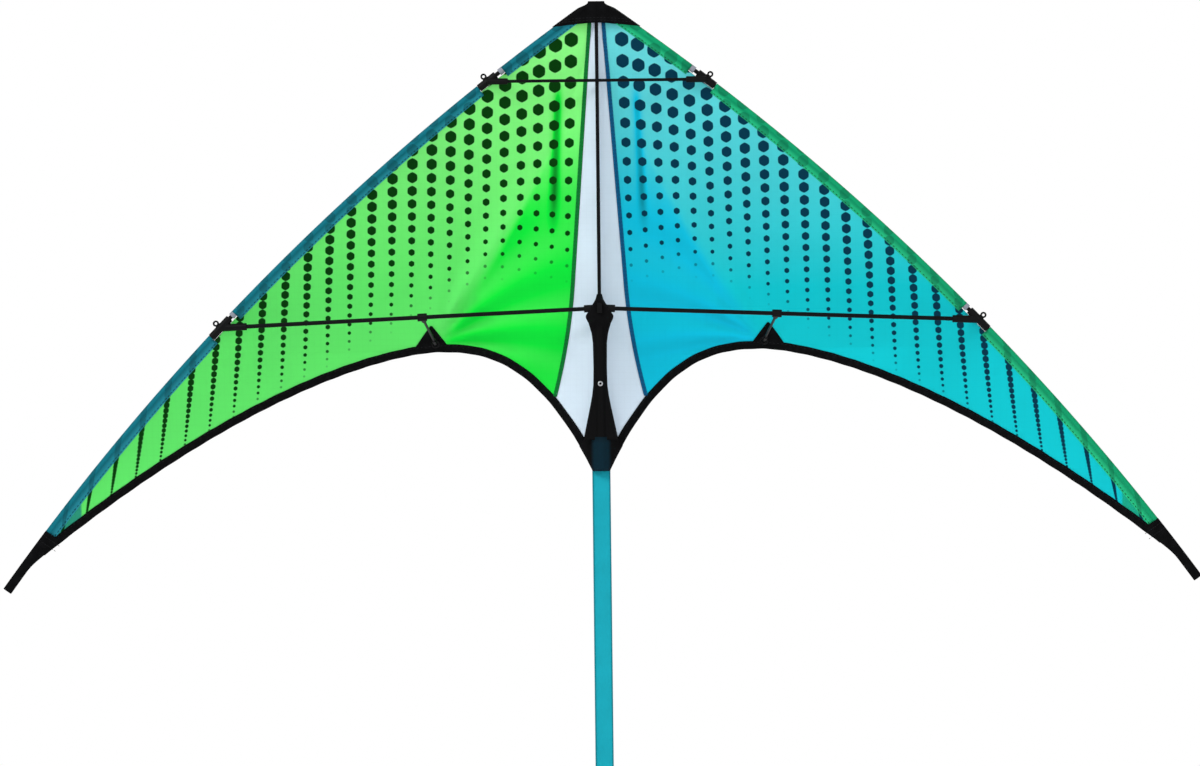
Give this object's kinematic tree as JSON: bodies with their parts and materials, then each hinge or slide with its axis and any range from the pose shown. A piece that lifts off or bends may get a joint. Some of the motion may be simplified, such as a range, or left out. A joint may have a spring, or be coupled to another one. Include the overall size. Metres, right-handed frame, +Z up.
{
  "type": "delta kite",
  "caption": "Compact dual-line delta kite: bowed leading edges, spreaders, spine and stand-offs holding a dotted two-colour sail, with a ribbon tail.",
  "frame": {"origin": "top of the nose, where the kite is held", "axes": "X along the wing span, +Z up, -Y towards the frame side that faces the flyer, +Y towards the belly of the sail"},
  "size_m": [1, 0.1081, 0.7105],
  "materials": {
    "carbon_rod": "pultruded fibre rod, satin black",
    "rubber_fitting": "moulded vinyl rubber, matt",
    "rod_cap": "dipped vinyl cap",
    "clear_ring": "milky vinyl tube",
    "webbing": "heavy woven polyester webbing",
    "binding_tape": "folded polyester binding tape",
    "sail_green": "printed ripstop polyester",
    "sail_blue": "printed ripstop polyester",
    "sail_white": "plain ripstop polyester",
    "sleeve_teal": "polyester sleeve cloth",
    "sleeve_green": "polyester sleeve cloth",
    "fairing_cloth": "coated polyester cloth",
    "eyelet_metal": "pressed eyelet",
    "tail_ribbon": "hemmed polyester ribbon"
  },
  "bodies": {
    "kite_frame": {"spine": "carbon_rod", "spine_end_cap": "rod_cap", "leading_edge_spar_left": "carbon_rod", "leading_edge_spar_right": "carbon_rod", "spar_end_cap_left": "rod_cap", "spar_end_cap_right": "rod_cap", "upper_spreader": "carbon_rod", "lower_spreader_left": "carbon_rod", "lower_spreader_right": "carbon_rod", "upper_connector_left": "rubber_fitting", "upper_connector_right": "rubber_fitting", "lower_connector_left": "rubber_fitting", "lower_connector_right": "rubber_fitting", "stopper_rings": "clear_ring", "centre_t": "rubber_fitting", "nose_patch": "webbing", "sail_left": "sail_green", "sail_right": "sail_blue", "centre_panel": "sail_white", "leading_edge_sleeve_left": "sleeve_teal", "leading_edge_sleeve_right": "sleeve_green", "trailing_edge_binding_left": "binding_tape", "trailing_edge_binding_right": "binding_tape", "tip_sleeve_left": "webbing", "tip_sleeve_right": "webbing", "standoff_patch_left": "webbing", "standoff_patch_right": "webbing", "centre_fairing": "fairing_cloth", "fairing_eyelet": "eyelet_metal", "tail_patch": "fairing_cloth", "tail_anchor": "tail_ribbon"},
    "standoff_left_body": {"standoff_left": "carbon_rod", "standoff_clip_left": "rubber_fitting", "standoff_foot_left": "rod_cap"},
    "standoff_right_body": {"standoff_right": "carbon_rod", "standoff_clip_right": "rubber_fitting", "standoff_foot_right": "rod_cap"},
    "tail": {"tail_streamer": "tail_ribbon", "tail_roll": "tail_ribbon", "tail_tie": "rod_cap"}
  },
  "joints": [
    {"name": "standoff_left_swing", "type": "hinge", "parent": "kite_frame", "child": "standoff_left_body", "pos_m": [-0.148, -0.00245, -0.26208], "axis": [-0.9991, 0.0145, -0.041], "range_deg": [0, 75]},
    {"name": "standoff_right_swing", "type": "hinge", "parent": "kite_frame", "child": "standoff_right_body", "pos_m": [0.148, -0.00245, -0.26208], "axis": [-0.9991, -0.0145, 0.041], "range_deg": [0, 75]},
    {"name": "tail_swing", "type": "hinge", "parent": "kite_frame", "child": "tail", "pos_m": [0, 0.0074, -0.392], "axis": [1, 0, 0], "range_deg": [-75, 75]}
  ]
}
